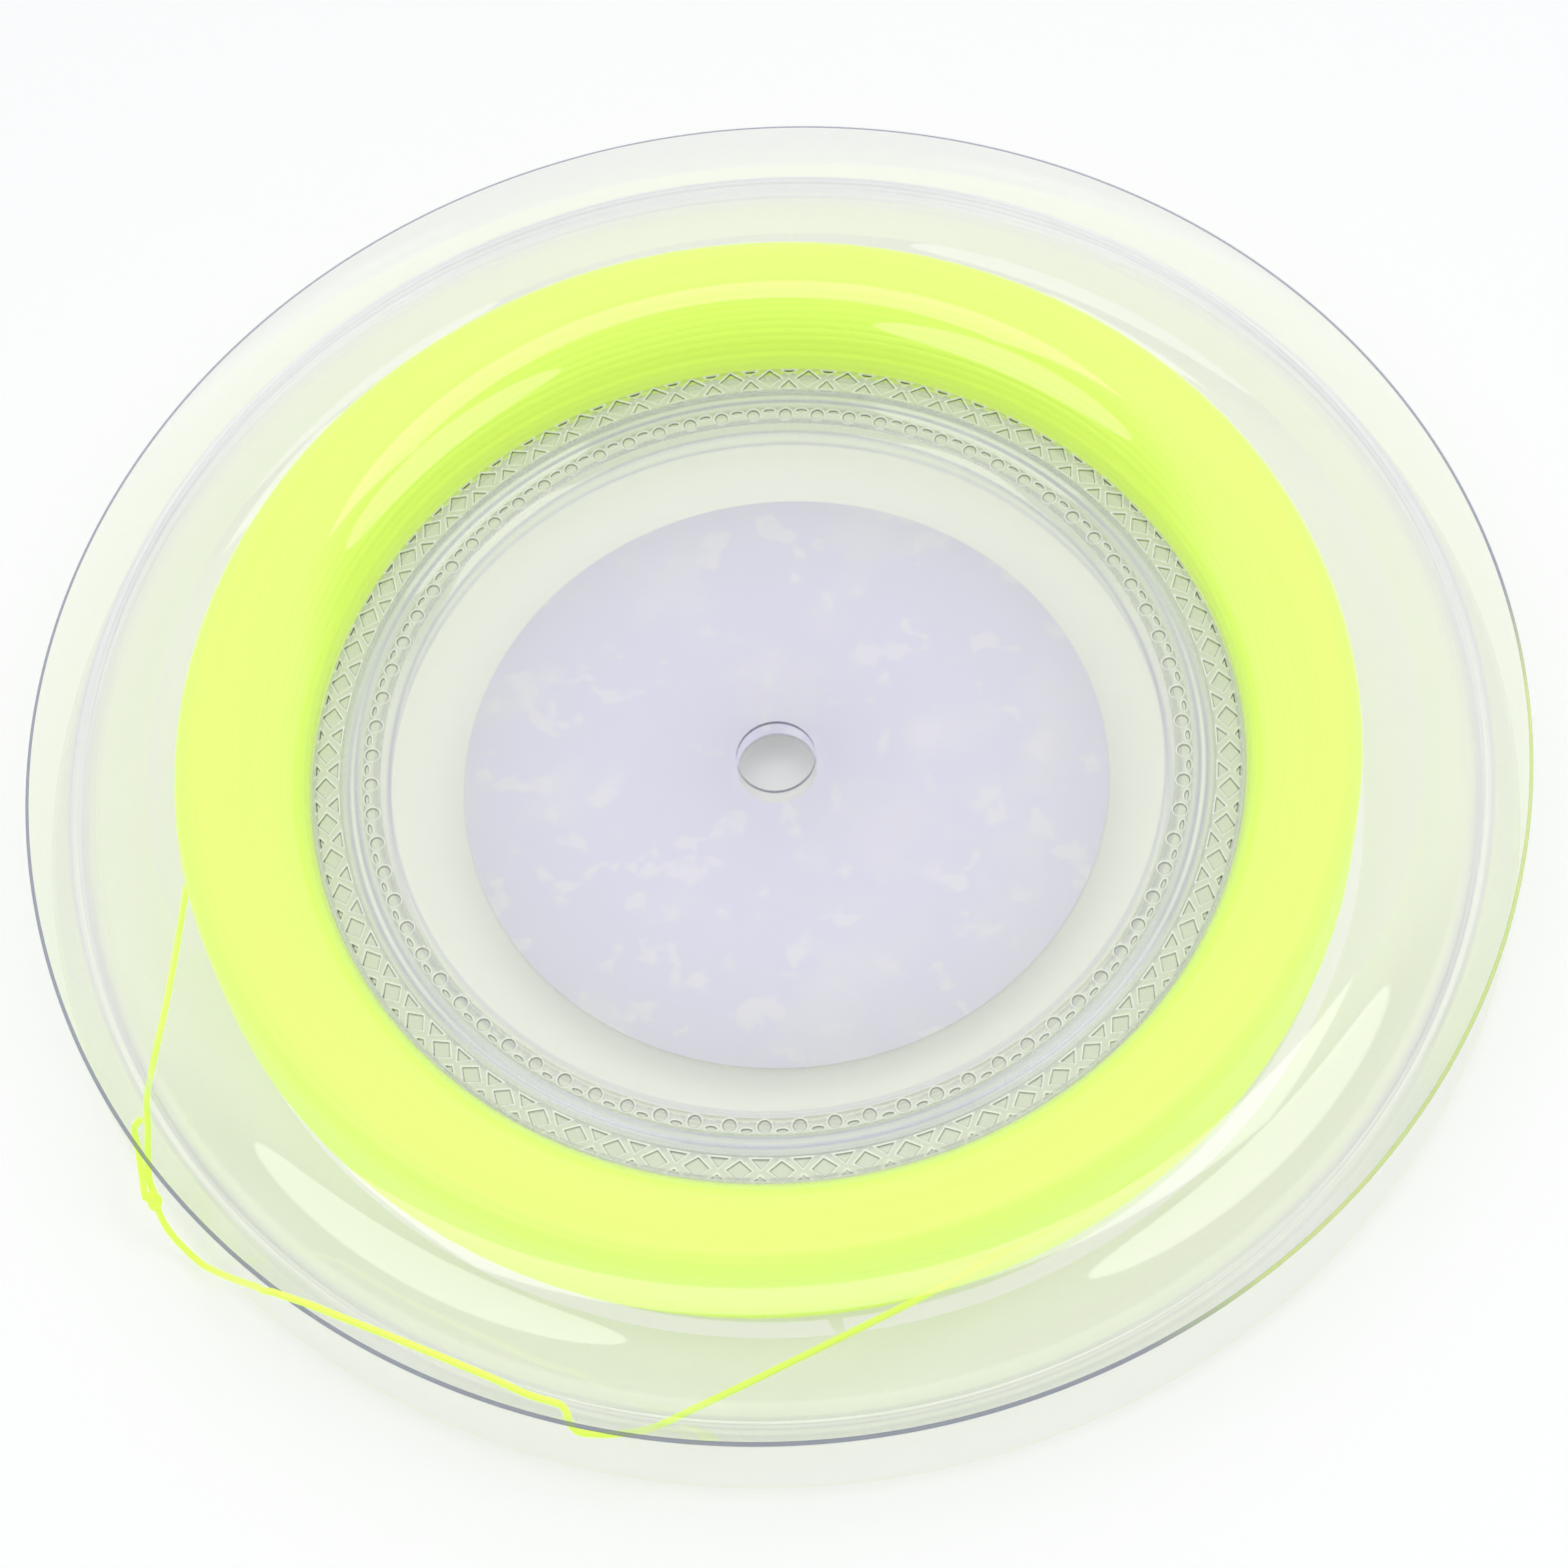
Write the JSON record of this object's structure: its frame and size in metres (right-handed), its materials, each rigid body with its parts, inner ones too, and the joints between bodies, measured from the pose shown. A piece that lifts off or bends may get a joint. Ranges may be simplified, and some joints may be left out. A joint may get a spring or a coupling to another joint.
{
  "type": "string reel",
  "caption": "Round clear plastic reel holding wound yellow-green racket string, with a loose label disc at its centre and the string's free end laced through the lip.",
  "frame": {"origin": "middle of the ring that the reel rests on when it lies on its back half", "axes": "+Z along the spindle hole, out of the front half; the laced end of the string is at the -X -Y side"},
  "size_m": [0.28, 0.28, 0.028],
  "materials": {
    "clear_sheet": "clear formed PVC sheet, glossy, with a faint green-grey edge",
    "label_card": "bare satin-coated card, pale lavender with faint mottling",
    "string": "translucent yellow-green monofilament, satin"
  },
  "bodies": {
    "root": {"front_shell": "clear_sheet", "back_shell": "clear_sheet", "label_disc": "label_card", "string_pack": "string", "string_lead": "string", "string_loop": "string", "string_return": "string", "string_knot": "string"}
  },
  "joints": []
}
